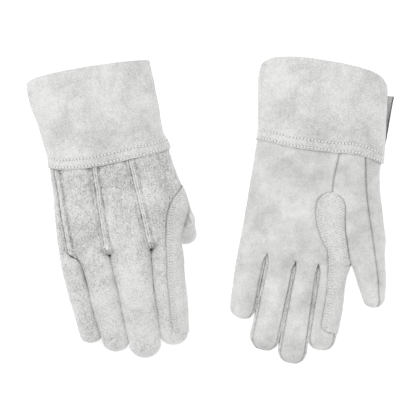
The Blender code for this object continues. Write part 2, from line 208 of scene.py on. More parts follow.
# bare_edge: the thumb side's edge without the thumb, where it is not the right edge
# fullness: how much wider than the frame the fingers are, so that neighbours touch
RIGHT = Glove(
    "right", wrist=(-91, 46.4, 0), turn=9, back_up=True, fullness=1.2, crotch=(50.5, 68.0),
    left_edge=((-9, -53), (0, -54), (30, -55), (60, -57), (88, -57)),
    right_edge=((-9, 52), (0, 54), (20, 57), (35, 61), (50, 65), (72, 67), (80, 58), (90, 52)),
    bare_edge=((-9, 52), (0, 54), (20, 57), (35, 61), (50, 64), (60, 61), (68, 57), (86, 53.5)),
    half_thick=((-9, 19), (30, 19), (60, 16.5), (88, 13)),
    hand_heights=((-84, 22.62), (-9, 24), (30, 30), (60, 36), (88, 38)),
    thumb_heights=((-9, 24), (30, 26), (72, 31), (88, 36)),
    cuff_left=((-84, -61), (-60, -61), (-40, -56.5), (-9, -53)),
    cuff_right=((-84, 48), (-40, 48.5), (-16, 49), (-9, 52)),
    cuff_half_thick=((-84, 20.5), (-9, 19)), flap=0,
    rim=((0, -76), (0.15, -80), (0.25, -82), (0.5, -79), (0.62, -82), (0.75, -84), (1, -82)),
    cuff_dip=((-55, -2.3), (-45, 1.4), (-19, 3.6), (3, 3.1), (24, 1.3), (44, 0.3), (55, -2.3)),
    seams={
        "little_ring": ((-9, -49), (40, -49), (84, -47.5)),
        "ring_middle": ((-9, -14.8), (70, -14.6), (88, -13)),
        "middle_index": ((-9, 17.5), (30, 20.7), (88, 25)),
        "radial": ((-9, 60), (25, 64), (50, 72), (88, 72)),
        "ulnar": ((-9, -75), (88, -75)),
        "palm": ((-9, 17.5), (35, 16), (46, 22), (56, 33), (64, 43), (68, 49)),
        "thumb": ((-9, 39), (35, 47), (60, 53), (72, 56)),
        "strap_palm_left": ((32, 15), (35, 8), (42, 3), (52, 4.5), (60, 11), (68, 19), (88, 30),
                            (110, 30), (170, 28)),
        "strap_back_left": ((34, 62.5), (36, 59.5), (40, 55.5), (46, 50), (54, 45.3), (62, 42.5),
                            (80, 39.4), (98, 37.2), (115, 34.8), (133, 33.7), (151, 32.2),
                            (162, 32)),
    },
    strap_end=9.5,
    digits=(
        Digit("little", (-48.2, 86), 5.6, 77, ((0, 8.7), (77, 9)), ((0, 12.5), (77, 10.5)),
              ((0, 33), (30, 29), (54, 18), (77, 7.5)), knuckle=34),
        Digit("ring", (-25.8, 87), 4.2, 87.5, ((0, 12.7), (87, 11.1)), ((0, 12.5), (87, 10.5)),
              ((0, 37), (35, 33), (62, 20), (87.5, 6.8)), knuckle=39),
        Digit("middle", (5.9, 88), -0.3, 96, ((0, 17.8), (12, 17.2), (34, 14.6), (95, 13)),
              ((0, 12.5), (95, 11)), ((0, 38), (40, 34), (68, 20.5), (96, 7)), knuckle=43),
        Digit("index", (37.8, 88), -4, 88.5, ((0, 12.9), (87, 11.8)), ((0, 12), (87, 10.5)),
              ((0, 38), (35, 34), (62, 21), (88.5, 8)), knuckle=39),
        Digit("thumb", (56.5, 72), 3, 38, ((0, 11.6), (38, 9.6)), ((0, 11.5), (38, 9.5)),
              ((0, 28.4), (38, 28.4)), bend=58),
    ),
)
LEFT = Glove(
    "left", wrist=(99.4, 52.6, 0), turn=-9, back_up=False, fullness=0.6, crotch=(43.2, 96.0),
    left_edge=((-9, -56), (0, -57), (30, -57.5), (60, -58), (101, -58.5)),
    right_edge=((-9, 55), (0, 56), (15, 57), (29, 60), (57, 68), (85, 75), (96, 77), (101, 77)),
    half_thick=((-9, 19), (30, 19), (70, 17), (101, 13)),
    hand_heights=((-84, 21.8), (-9, 23.4), (30, 22), (70, 19.12), (101, 18.1)),
    thumb_heights=((-9, 23.4), (30, 24), (70, 26), (101, 27)),
    cuff_left=((-84, -62), (-62, -63), (-48, -61.5), (-34, -59.5), (-9, -56)),
    cuff_right=((-84, 49), (-64, 50), (-40, 52), (-9, 55)),
    cuff_half_thick=((-84, 20.5), (-9, 19)), flap=6.5,
    rim=((0, -63), (0.04, -71), (0.1, -77), (0.25, -81.5), (0.38, -77.5), (0.45, -72),
         (0.5, -64), (0.6, -62), (1, -60)),
    cuff_dip=((-57, -4), (-47, -3.7), (-30, -1.7), (-10, -1.8), (14, -2.7), (32, -4.4),
              (39, -3.6), (57, 0)),
    seams={
        "little_ring": ((-9, -49), (95, -37)),
        "ring_middle": ((-9, -14.8), (70, -12), (101, -6.4)),
        "middle_index": ((-9, 17.5), (30, 19), (101, 14.4)),
        "radial": ((-9, 50), (35, 55), (60, 57), (80, 52), (96, 44)),
        "ulnar": ((-9, -75), (101, -75)),
        "palm": ((-9, 17.5), (34.5, 16), (37, 22.5), (40, 26.5), (47, 29.8), (57, 31),
                 (69, 33.5), (82, 38), (96, 43)),
        "thumb": ((-9, 39.5), (20, 44.5), (42, 50), (67, 58), (89, 64.6), (96, 66)),
        "strap_palm_left": ((34.7, 14), (36, 10), (38.5, 7), (42, 4.4), (46, 3.3), (56, 4.0),
                            (69, 8.2), (80, 14.4), (87, 19.7), (95, 22.2), (110, 24),
                            (126, 25.4), (152, 24.8), (165, 25)),
        "strap_back_left": ((40, 54), (45, 47), (56, 43), (70, 38), (90, 32), (101, 29),
                            (170, 28)),
    },
    strap_end=16,
    digits=(
        Digit("little", (-45.5, 99), -1.2, 61, ((0, 12.8), (30, 12), (61, 10.6)),
              ((0, 11), (61, 9.5)), ((0, 16), (30, 18), (61, 25)), knuckle=29),
        Digit("ring", (-19.2, 101), -2.9, 84, ((0, 13.1), (84, 13)), ((0, 12.5), (84, 10.5)),
              ((0, 18), (38, 20), (84, 30)), knuckle=38),
        Digit("middle", (4.4, 103), -0.9, 89.5, ((0, 10), (25, 11), (60, 12), (89, 12.6)),
              ((0, 12), (89, 10.5)), ((0, 18), (40, 20), (89, 32)), knuckle=41),
        Digit("index", (28.2, 101), -0.6, 76, ((0, 13.2), (30, 12.4), (76, 12)),
              ((0, 12), (76, 10.5)), ((0, 18), (36, 20), (76, 28)), knuckle=36),
        Digit("thumb", (60.5, 96.5), 17.5, 36, ((0, 14.2), (12, 12.6), (24, 9.8), (36, 7.2)),
              ((0, 12), (36, 9.5)), ((0, 27), (36, 31))),
    ),
)


# ------------------------------------------------------------------ the shell's surface


def oval(half_width, half_thick, angle, squareness, lift=0.0):
    sine, cosine = np.sin(angle), np.cos(angle)
    across = half_width * power(sine, squareness)
    height = half_thick * power(cosine, squareness)
    ox = power(sine, 2 - squareness) / half_width
    oz = power(cosine, 2 - squareness) / half_thick
    size = np.hypot(ox, oz)
    return across + ox / size * lift, height + oz / size * lift


def hand_sizes(glove, s, bare):
    left = track(glove.left_edge, s)
    right = track(glove.bare_edge if bare else glove.right_edge, s)
    return (left + right) / 2, (right - left) / 2, track(glove.half_thick, s)


def hand_point(glove, s, angle, bare=False, lift=0.0):
    middle, half_width, half_thick = hand_sizes(glove, s, bare)
    across, height = oval(half_width, half_thick, angle, HAND_SQUARENESS, lift)
    x = middle + across
    return glove.world(x, s, glove.middle_height(x, s) + glove.up * height)


def hand_angle(glove, s, x, palm_side=False, bare=False):
    middle, half_width, _ = hand_sizes(glove, s, bare)
    angle = np.arcsin(power(np.clip((x - middle) / half_width, -1, 1), 1 / HAND_SQUARENESS))
    return math.pi - angle if palm_side else angle


def seam_angle(glove, seam, s, palm_side=False, bare=False):
    return hand_angle(glove, s, track(glove.seams[seam], s), palm_side, bare)


def palm_angle(glove, border, s, bare):
    """Hand angle of the palm's line between two fingers."""
    ulnar = seam_angle(glove, "ulnar", s, True, bare)
    palm = seam_angle(glove, "palm", s, True, bare)
    return ulnar + (palm - ulnar) * glove.palm_shares[border]


def place_on_digit(glove, digit, across, v, height):
    level = track(digit.heights, v)
    along, rise = v, level + glove.up * height
    if digit.bend:
        pivot = digit.heights[0][1] + glove.up * track(digit.thicks, 0)
        down = glove.up * (pivot - rise)
        along = v * math.cos(digit.bend) - down * math.sin(digit.bend)
        rise = pivot - glove.up * (v * math.sin(digit.bend) + down * math.cos(digit.bend))
    x = digit.root[0] + across * math.cos(digit.lean) + along * math.sin(digit.lean)
    s = digit.root[1] - across * math.sin(digit.lean) + along * math.cos(digit.lean)
    return glove.world(x, s, rise)


def shoulder(digit):
    """Where a digit's round tip begins."""
    return digit.length - 0.9 * float(track(digit.widths, digit.length))


def digit_point(glove, digit, v, angle):
    start = shoulder(digit)
    dome = np.arcsin(np.clip((v - start) / (digit.length - start), 0, 1))
    width = track(digit.widths, v) + (glove.fullness if digit.name != "thumb" else 0.0)
    across, height = oval(width, track(digit.thicks, v), angle, DIGIT_SQUARENESS)
    return place_on_digit(glove, digit, across * np.cos(dome), v, height * np.cos(dome))


def digit_rows(digit):
    """Row numbers of a digit's strip, close together at its root and tip."""
    start, first, spacing = shoulder(digit), 3.2, 1.25
    body = np.linspace(first, start, int((start - first) / spacing))
    dome = start + (digit.length - start) * np.sin(TIP_STEPS)
    return np.concatenate([HAND_ROWS, [0.4, 0.9, 1.5, 2.3], body, dome])


def edge_angles(glove, k, side, s, bare):
    """Hand angles of a strip's two edges at s."""
    if k == THUMB:
        seam = seam_angle(glove, "thumb", s, True, bare)
        if side == "back":
            return seam_angle(glove, "radial", s, False, bare), seam
        return seam_angle(glove, "palm", s, True, bare), seam
    if side == "front":
        return palm_angle(glove, k, s, bare), palm_angle(glove, k + 1, s, bare)
    if k:
        left = seam_angle(glove, BORDERS[k - 1], s, False, bare)
    else:
        left = seam_angle(glove, "ulnar", s, True, bare) - math.tau
    return left, seam_angle(glove, BORDERS[k], s, False, bare)


def digit_angles(k, side):
    if k == THUMB:
        return THUMB_INNER + (0 if side == "back" else math.tau), THUMB_SEAM
    outer = LITTLE_SIDE if k == 0 else SIDE
    return (-outer if side == "back" else math.tau - outer), SIDE


def mitre(digit, angle):
    """How far past its root plane a bent digit's surface starts."""
    thick = float(track(digit.thicks, 0))
    _, height = oval(1.0, thick, angle, DIGIT_SQUARENESS)
    return (thick - height) * math.tan(digit.bend / 2)


def plan_crotches(glove):
    """The point where two neighbouring digits part, for each pair, and the palm's shares."""
    glove.crotches = []
    for k, (a, b) in enumerate(zip(glove.digits, glove.digits[1:])):
        x, s = glove.crotch
        start, angle = float(mitre(b, THUMB_INNER)), THUMB_INNER
        if k < 3:
            # midway between their sides, and a little short of both root planes
            x = (a.root[0] + a.widths[0][1] + b.root[0] - b.widths[0][1]) / 2
            s = min(d.root[1] - (x - d.root[0]) * math.tan(d.lean) for d in (a, b)) - 0.5
            start, angle = 0.0, SIDE
        low = float(digit_point(glove, a, 0.0, SIDE)[2])
        high = float(digit_point(glove, b, start, angle)[2])
        glove.crotches.append((x, s, (low + high) / 2))
    # the palm's columns are shared out between the fingers so that they meet the crotches
    s = np.mean([c[1] for c in glove.crotches[:3]])
    ulnar = float(seam_angle(glove, "ulnar", s, True, True))
    palm = float(seam_angle(glove, "palm", s, True, True))
    middle = [float(hand_angle(glove, s, c[0], True, True)) for c in glove.crotches[:3]]
    glove.palm_shares = [0.0] + [(m - ulnar) / (palm - ulnar) for m in middle] + [1.0]


def hand_s(p, end):
    """Where a strip's row is along the hand when the root row is at end."""
    return HAND_START + (end - HAND_START) * (1 + np.minimum(p, 0) / -FIRST_ROW)


def border_line(glove, border, side, s):
    """The seam that two neighbouring strips share on the hand."""
    if side == "back":
        bare = border < 3 or glove is RIGHT
        return hand_point(glove, s, seam_angle(glove, BORDERS[border], s, False, bare), bare)
    if border == 3:
        return hand_point(glove, s, seam_angle(glove, "palm", s, True))
    return hand_point(glove, s, palm_angle(glove, border + 1, s, True), True)


def strip(glove, k, side, cols):
    """Points of one digit's strip of leather, from inside the cuff to the digit's tip."""
    digit = glove.digits[k]
    p = digit_rows(digit)[:, None]
    u = np.linspace(0, 1, cols)[None, :]
    # an edge's column, its neighbour's border, and the distance from it; none at the outer edges
    inner = [(c, k - 1 + c, abs(u - c)) for c in (0, 1) if 0 < k + c < 5]
    low, high = digit_angles(k, side)
    angle = low + (high - low) * u
    width, thick = float(track(digit.widths, 0)), float(track(digit.thicks, 0))
    across, _ = oval(width, thick, angle, DIGIT_SQUARENESS)
    offset = mitre(digit, angle) if digit.bend else 0 * angle
    plane = digit.root[1] - across * math.sin(digit.lean) - offset
    shift = 0 * u
    for c, border, away in inner:
        shift = shift + (glove.crotches[border][1] - plane[0, -c]) * falling(away, 0.5, 2)
    s = hand_s(p, plane + shift) + np.maximum(p, 0)
    bare = k < THUMB
    left, right = edge_angles(glove, k, side, s, bare)
    hand = hand_point(glove, s, left + (right - left) * u, bare)
    fade = 1 - smooth(p / min(24, 0.6 * digit.length))
    along = np.maximum(p, 0) if digit.bend else p
    finger = digit_point(glove, digit, along + (offset + shift) * fade, angle)
    # the hand turns into the digit over some rows, and later beside a crotch
    blend_from, blend_to = (44 if digit.bend else 24, 6) if k == THUMB else (18, 8)
    brim = 0 * u
    for _, _, away in inner:
        brim = np.maximum(brim, falling(away, 0.4))
    early = blend_from - (blend_from - 7.0) * smooth(brim)
    points = mix(hand, finger, smooth((p + early) / (early + blend_to)))
    if digit.bend:
        points = fill_outline(glove, side, points, p)
    for c, border, away in inner:
        # the web beside the folded thumb is narrow
        pull = falling(away, 0.13, 1.5) if digit.bend and not c else falling(away, 0.30, 2.5)
        wanted = crotch_edge(glove, border, side, points[:, -c], p)
        points = points + (wanted - points[:, -c])[:, None, :] * pull[..., None]
    if k >= 3:
        near = 1 + 0 * u if digit.bend else falling(u if k == THUMB else 1 - u, 0.5)
        points = ease(points, p, near)
    return points


def fill_outline(glove, side, points, p):
    """The hand keeps its outline and its fullness where the folded thumb leaves it."""
    flat = glove.local(points)
    if side == "back":
        rows, cols = flat.shape[:2]
        far = flat[..., 0].max(1, keepdims=True)
        at = np.take_along_axis(flat[..., 1], flat[..., 0].argmax(1)[:, None], 1)
        short = np.clip(track(glove.right_edge, at) - far, 0, 12) * smooth((10 - p) / 10)
        glove.outline = (short, far)
        # the leather is full between its edge and the thumb's outer side
        a = flat[:, : cols // 3, 0].argmax(1)[:, None]
        b = flat[:, cols // 2 :, 0].argmax(1)[:, None] + cols // 2
        share = np.clip((np.arange(cols)[None] - a) / (b - a), 0, 1)
        row = np.arange(rows)[:, None]
        line = flat[row, a, 0] * (1 - share) + flat[row, b, 0] * share
        inside = (share > 0) & (share < 1)
        fill = np.where(inside, np.maximum(line - flat[..., 0], 0), 0)
        fill = fill * smooth(-p / 10) * smooth((p + 42) / 10)
        points = points + glove.across * fill[..., None]
        flat = glove.local(points)
    short, far = glove.outline
    still = 45  # what is nearer the palm's middle than this x doesn't move
    reach = short * np.clip((flat[..., 0] - still) / (far - still), 0, 1)
    points = points + glove.across * reach[..., None]
    # its root is pressed flat under the index finger, with a soft limit to its height
    limit, softness = 32.5, 1.2
    points[..., 2] = -softness * np.log(
        np.exp(-points[..., 2] / softness) + math.exp(-limit / softness)
    )
    return points


def crotch_edge(glove, border, side, edge, p):
    """A strip's edge on the seam that it shares, which runs into the point of the crotch."""
    x, s, z = glove.crotches[border]
    root = glove.world(x, s, z)
    seam = border_line(glove, border, side, hand_s(p, s)[:, 0])
    depth = 9.0 if side == "back" else 7.0
    t = np.clip((p[:, 0] + depth) / depth, 0, 1)
    before = mix(seam, root + 0 * seam, 0.55 * (1 - np.sqrt(1 - t * t)) + 0.45 * t**3)
    after = mix(root + 0 * seam, edge, smooth(p[:, 0] / 9))
    return np.where(p <= 0, before, after)


def ease(points, p, near, times=16):
    """Evens out the leather round the thumb's crotch; the strip's edges and far parts stay."""
    share = smooth(near * 1.4) * smooth((p + 22) / 8) * smooth((16 - p) / 8) * 0.8
    share = share[1:-1, 1:-1, None]
    for _ in range(times):
        points[1:-1, 1:-1] += (neighbours(points) / 4 - points[1:-1, 1:-1]) * share
    return points


def centre_line(glove, k, rows):
    """A line inside the shell, from which outward is told."""
    digit = glove.digits[k]
    s = hand_s(rows, digit.root[1])
    x = digit.root[0] + 0 * s
    inside = glove.world(x, s, glove.middle_height(x, s))
    tip = place_on_digit(glove, digit, 0 * rows, np.clip(rows, 0, digit.length - 6), 0)
    return np.where(rows[:, None] < 0, inside, tip)


def grid_normals(points, centre, wrap=False):
    if wrap:
        du = np.roll(points, -1, 1) - np.roll(points, 1, 1)
    else:
        du = np.gradient(points, axis=1)
    n = np.cross(du, np.gradient(points, axis=0))
    size = np.linalg.norm(n, axis=-1, keepdims=True)
    n = n / np.maximum(size, 1e-12)
    n[size[..., 0] < 1e-9] = 0
    out = points - centre[:, None, :]
    half = len(points) * 2 // 3
    return -n if (n[:half] * out[:half]).sum() < 0 else n


def arc(points):
    """Distance along each row from its left and right edges."""
    step = np.linalg.norm(np.diff(points, axis=1), axis=-1)
    left = np.concatenate([np.zeros((len(points), 1)), np.cumsum(step, 1)], 1)
    return left, left[:, -1:] - left


def edge_distance(points):
    return np.minimum(*arc(points))


def strip_relief(glove, k, side, points, rows):
    """Height of the leather's folds, seams and puckers above the smooth shell, and the painted
    shade in the seams' grooves, in the valleys beside the welts and at the welts' feet."""
    left, right = arc(points)
    p = rows[:, None] + 0 * left
    flat = glove.local(points)
    relief = 1.0 * noise(flat, 36, 3) + 0.45 * noise(flat, 15, 5)
    streaks = flat * np.array((1, 0.35, 1))
    relief += 0.34 * noise(streaks, 8, 7) + 0.12 * noise(flat, 3.2, 9)
    if side == "front":
        relief = relief * 0.72
    taper = smooth((glove.digits[k].length - p) / (8 if k == THUMB else 14))
    relief = relief * (0.25 + 0.75 * taper)
    seam = 0
    for i, c in ((0, left), (1, right)):
        welted = side == "back" and 0 < k + i < THUMB
        plain = side == "front" and k < THUMB and 0 < k + i < THUMB
        # the palm is one panel: its inner borders are seams only beyond the crotch
        weight = smooth((p - 1) / 5) if plain else 1.0
        puckers = np.sin(p * math.tau / 5.1 + 2.4 * noise(flat, 11, 21 + k)) * bell(c, 3.6)
        groove = -0.55 * bell(c, 0.95) + 0.42 * bell(c - 2.3, 1.1)
        relief = relief + weight * (groove + 0.16 * puckers)
        # painted shade in the seam's groove
        seam = np.maximum(seam, weight * bell(c, 0.8))
        if welted:
            hand = smooth((2 - p) / 8)
            relief += hand * (0.42 * bell(c - 2.4, 1.0) - 0.75 * bell(c - 5.2, 2.3))
            waves = np.sin(p * math.tau / 6.3 + 3 * noise(flat, 14, 31 + k + i))
            relief += hand * 0.3 * waves * bell(c - 3.5, 3.5)
            # painted shade in the valley beside the welt and at its foot
            valley = (0.75 + 0.25 * (i == 0)) * bell(c - 4.2, 1.3) * 0.7
            seam = np.maximum(seam, hand * np.maximum(valley, 1.15 * bell(c - 1.3, 0.75)))
    if k >= 3:
        # calm beside the thumb's crotch
        near = left if k == THUMB else right
        relief = relief * (1 - bell(near, 9) * smooth((p + 20) / 8) * smooth((12 - p) / 8))
    if side == "back" and k < THUMB:
        narrow = np.minimum(left, right)
        relief += smooth((4 - p) / 20) * (1.1 * (1 - bell(narrow, 8)) - 0.4)
    return relief, seam


# ------------------------------------------------------------------ meshes


def make_object(name, verts, faces, material, attributes, normals=None):
    """An object from points in millimetres, with attributes per point."""
    mesh = bpy.data.meshes.new(name)
    mesh.from_pydata((np.asarray(verts) * MM).tolist(), [], faces)
    mesh.validate()
    mesh.materials.append(bpy.data.materials[material])
    mesh.shade_smooth()
    for key, values in attributes.items():
        values = np.asarray(values, np.float32)
        kind = "FLOAT_VECTOR" if values.ndim == 2 else "FLOAT"
        layer = mesh.attributes.new(key, kind, "POINT")
        layer.data.foreach_set("vector" if values.ndim == 2 else "value", values.reshape(-1))
    if normals is not None:
        mesh.normals_split_custom_set_from_vertices(np.asarray(normals).tolist())
    obj = bpy.data.objects.new(name, mesh)
    bpy.context.scene.collection.objects.link(obj)
    return obj


def edit(obj, change):
    """Applies a change to the object's mesh in edit form."""
    form = bmesh.new()
    form.from_mesh(obj.data)
    change(form)
    form.to_mesh(obj.data)
    form.free()


def drop_loose(form):
    loose = [v for v in form.verts if not v.link_faces]
    bmesh.ops.delete(form, geom=loose, context="VERTS")


def face_outward(form):
    bmesh.ops.recalc_face_normals(form, faces=form.faces)


def grid_quads(rows, cols, wrap=False):
    """Corner numbers of a grid's quads, row by row."""
    columns = np.arange(cols if wrap else cols - 1)
    i, j = np.meshgrid(np.arange(rows - 1), columns, indexing="ij")
    i, j = i.reshape(-1), j.reshape(-1)
    after = (j + 1) % cols
    corners = [i * cols + j, i * cols + after, (i + 1) * cols + after, (i + 1) * cols + j]
    return np.stack(corners, 1)


def tube_faces(rings, sides):
    """Faces of a tube made of rings, with closed ends."""
    quads = grid_quads(rings, sides, wrap=True).tolist()
    last = (rings - 1) * sides
    return quads + [list(range(sides))[::-1], list(range(last, last + sides))]


def shell(name, glove, points, normals, material, thick=LEATHER_THICK, wrap=False, pole=False,
          seam=None):
    """A closed sheet of leather whose outer face is a grid of points. With a pole, the last row
    is one point."""
    rows, cols = points.shape[:2]
    n = rows * cols
    verts = np.concatenate([points.reshape(-1, 3), (points - normals * thick).reshape(-1, 3)])
    shade = np.concatenate([normals.reshape(-1, 3), -normals.reshape(-1, 3)])
    # seams: painted shade along seams, strap edges and stitch rows, on the outer face only
    seams = np.zeros(2 * n)
    if seam is not None:
        seams[:n] = seam.reshape(-1)
    quads = grid_quads(rows, cols, wrap)
    whole = len(quads) - (cols - 1 if pole else 0)
    outer = quads[:whole]
    a, b, c, _ = outer[len(outer) // 2]
    turn = np.cross(verts[b] - verts[a], verts[c] - verts[a])
    flip = (turn * shade[a]).sum() < 0
    faces = []

    def add(corners, reverse):
        faces.extend(face[::-1] if reverse else face for face in corners)

    add(outer.tolist(), flip)
    add((outer + n).tolist(), not flip)
    tip = (rows - 1) * cols
    for x, y in quads[whole:, :2].tolist():
        add([[x, y, tip]], flip)
        add([[x + n, y + n, tip + n]], not flip)
    rims = []
    if not wrap:
        left, right = [r * cols for r in range(rows)], [r * cols + cols - 1 for r in range(rows)]
        if pole:
            right[-1] = tip
        rims += [(left, not flip), (right, flip)]
    rims.append((list(range(cols)) + ([0] if wrap else []), flip))
    if not pole:
        rims.append((list(range(tip, n)) + ([tip] if wrap else []), not flip))
    for line, reverse in rims:
        add([[x, x + n, y + n, y] for x, y in zip(line, line[1:])], reverse)
    attributes = {"rest": glove.local(verts) * MM, "seam": seams}
    obj = make_object(name, verts, faces, material, attributes, shade)
    if pole:
        edit(obj, drop_loose)
    return obj


# ------------------------------------------------------------------ materials


def new_material(name):
    """A material's tree, its shader and the place in the glove's flat frame."""
    material = bpy.data.materials.new(name)
    material.use_nodes = True
    tree = material.node_tree
    return tree, tree.nodes["Principled BSDF"], attribute(tree, "rest", "Vector")


def attribute(tree, name, output):
    made = tree.nodes.new("ShaderNodeAttribute")
    made.attribute_name = name
    return made.outputs[output]


def settings(node, **values):
    """Sets a node's inputs: Specular_IOR_Level=0 stands for the input Specular IOR Level."""
    for name, value in values.items():
        node.inputs[name.replace("_", " ")].default_value = value
    return node


def noise_node(tree, source, scale, detail, rough, stretch=None, distortion=0.0):
    if stretch is not None:
        mapping = settings(tree.nodes.new("ShaderNodeMapping"), Scale=stretch)
        tree.links.new(source, mapping.inputs["Vector"])
        source = mapping.outputs["Vector"]
    made = tree.nodes.new("ShaderNodeTexNoise")
    settings(made, Scale=scale, Detail=detail, Roughness=rough, Distortion=distortion)
    tree.links.new(source, made.inputs["Vector"])
    return made.outputs["Fac"]


def ramp(tree, source, stops):
    made = tree.nodes.new("ShaderNodeValToRGB")
    for element, (at, grey) in zip(made.color_ramp.elements, stops):
        element.position = at
        element.color = (grey, grey, grey, 1)
    tree.links.new(source, made.inputs["Fac"])
    return made.outputs["Color"]


def maths(tree, operation, a, b):
    made = tree.nodes.new("ShaderNodeMath")
    made.operation = operation
    for slot, value in zip(made.inputs, (a, b)):
        if isinstance(value, (int, float)):
            slot.default_value = value
        else:
            tree.links.new(value, slot)
    return made.outputs[0]


def bump(tree, shader, height, strength, distance):
    relief = settings(tree.nodes.new("ShaderNodeBump"), Strength=strength, Distance=distance)
    tree.links.new(height, relief.inputs["Height"])
    tree.links.new(relief.outputs["Normal"], shader.inputs["Normal"])


def leather(name, grey, rough, speckle, cloud, fibre, strength, sheen=0.25, worn=0.0):
    """A procedural leather: clouds of tone, a fine nap or grain, fibres along the hand and
    painted shade along seam grooves, welt valleys, strap edges and stitch rows. Where worn, the
    hand is greyer than the fingers."""
    tree, shader, where = new_material(name)
    clouds = noise_node(tree, where, 30, 3, 0.55)
    patches = noise_node(tree, where, 105, 3, 0.6, distortion=0.4)
    nap = noise_node(tree, where, 860, 3, 0.7)
    fine = noise_node(tree, where, 1500, 2, 0.6)
    hairs = noise_node(tree, where, 700, 3, 0.65, stretch=(1.0, 0.3, 1.0), distortion=0.8)
    total = 1.0
    for layer, amount in (
        (clouds, cloud), (patches, cloud * 0.55), (nap, speckle), (fine, speckle * 0.8),
        (hairs, fibre),
    ):
        part = maths(tree, "MULTIPLY", maths(tree, "SUBTRACT", layer, 0.5), amount)
        total = maths(tree, "ADD", part, total)
    if worn:
        split = tree.nodes.new("ShaderNodeSeparateXYZ")
        tree.links.new(where, split.inputs[0])
        spread = tree.nodes.new("ShaderNodeMapRange")
        spread.interpolation_type = "SMOOTHSTEP"
        tree.links.new(split.outputs["Y"], spread.inputs["Value"])
        settings(spread, From_Min=0.060, From_Max=0.125, To_Min=-worn, To_Max=worn * 0.5)
        total = maths(tree, "ADD", total, spread.outputs["Result"])
    # painted shade: the seam attribute darkens the tone in seam grooves, beside welts, at strap
    # edges and along stitch rows
    seam_shade = attribute(tree, "seam", "Fac")
    total = maths(tree, "SUBTRACT", total, maths(tree, "MULTIPLY", seam_shade, 0.42))
    tone = maths(tree, "MINIMUM", maths(tree, "MULTIPLY", total, grey), 0.93)
    combine = tree.nodes.new("ShaderNodeCombineColor")
    tree.links.new(tone, combine.inputs[0])
    tree.links.new(tone, combine.inputs[1])
    tree.links.new(maths(tree, "MULTIPLY", tone, 0.99), combine.inputs[2])
    tree.links.new(combine.outputs[0], shader.inputs["Base Color"])
    roughness = maths(tree, "ADD", maths(tree, "MULTIPLY", patches, 0.16), rough - 0.08)
    tree.links.new(roughness, shader.inputs["Roughness"])
    settings(shader, Specular_IOR_Level=0.28, Sheen_Weight=sheen, Sheen_Roughness=0.6)
    height = maths(tree, "MULTIPLY", nap, 0.5)
    for layer, amount in ((hairs, 0.35), (fine, 0.3)):
        height = maths(tree, "ADD", height, maths(tree, "MULTIPLY", layer, amount))
    bump(tree, shader, height, strength, 0.0012)


def make_materials():
    leather("palm_grain", 0.74, 0.62, 0.62, 0.80, 0.26, 0.5)
    leather("back_split", 0.79, 0.86, 1.70, 0.90, 1.10, 1.0, sheen=0.4, worn=0.07)
    leather("cuff_split", 0.78, 0.82, 0.95, 0.75, 0.40, 0.8, sheen=0.4)
    leather("strap_split", 0.78, 0.78, 1.10, 0.55, 0.45, 0.8, sheen=0.3)
    leather("welt_split", 0.86, 0.86, 1.60, 0.40, 0.8, 1.0, sheen=0.4)
    tree, shader, where = new_material("thread_white")
    twist = noise_node(tree, where, 1400, 2, 0.6, stretch=(1, 0.5, 1))
    colour = ramp(tree, twist, [(0.2, 0.86), (0.8, 1.0)])
    tree.links.new(colour, shader.inputs["Base Color"])
    roughness = maths(tree, "ADD", maths(tree, "MULTIPLY", twist, 0.2), 0.45)
    tree.links.new(roughness, shader.inputs["Roughness"])
    bump(tree, shader, twist, 0.4, 0.0002)
    # painted shade: the dark grey inside the needle holes
    tree, shader, where = new_material("needle_hole")
    colour = ramp(tree, noise_node(tree, where, 900, 2, 0.6), [(0.2, 0.2), (0.8, 0.32)])
    tree.links.new(colour, shader.inputs["Base Color"])
    settings(shader, Roughness=0.95)


# ------------------------------------------------------------------ stitches


def capsule(start, end, normal, radius, arch):
    """A stitch: a small bowed bead from start to end."""
    along = end - start
    side = unit(np.cross(along, normal))
    rings = ((0.0, 0.35), (0.12, 0.85), (0.35, 1.0), (0.65, 1.0), (0.88, 0.85), (1.0, 0.35))
    sides, verts = 6, []
    for t, size in rings:
        centre = start + along * t + normal * (arch * 4 * t * (1 - t))
        for a in range(sides):
            turn = math.tau * a / sides
            ray = side * math.cos(turn) + normal * math.sin(turn) * 0.85
            verts.append(centre + ray * radius * size)
    return verts, tube_faces(len(rings), sides)


def add_capsule(verts, faces, *sizes):
    points, quads = capsule(*sizes)
    base = len(verts)
    verts += points
    faces += [[base + q for q in quad] for quad in quads]


def stitches(name, glove, line, normals, pitch, length, radius):
    """A row of stitches along a line on the leather, and dark beads between them that paint the
    shade in the needle holes.
    """
    step = np.linalg.norm(np.diff(line, axis=0), axis=1)
    run = np.concatenate([[0], np.cumsum(step)])
    verts, faces, spots, marks = [], [], [], []

    def at(distance, source):
        return np.array([np.interp(distance, run, source[:, i]) for i in range(3)])

    for i in range(max(int(run[-1] / pitch), 1)):
        middle = (i + 0.5) * pitch
        wobble = 0.12 * math.sin(i * 2.7) + 0.08 * math.sin(i * 5.1 + 1)
        a, b = at(middle - length / 2, line), at(middle + length / 2, line)
        n = unit(at(middle, normals))
        move = unit(np.cross(b - a, n)) * wobble + n * 0.05
        add_capsule(verts, faces, a + move, b + move, n, radius, 0.28)
        # a small dark bead sunk in the leather: painted shade in the needle hole
        hole = at(middle + pitch / 2, line) - n * 0.12
        half = (b - a) * 0.16
        add_capsule(spots, marks, hole - half, hole + half, n, radius * 0.75, 0.0)
    made = []
    for suffix, points, quads, material in (
        ("", verts, faces, "thread_white"), ("_holes", spots, marks, "needle_hole"),
    ):
        points = np.array(points)
        rest = {"rest": glove.local(points) * MM}
        made.append(make_object(name + suffix, points, quads, material, rest))
    return made


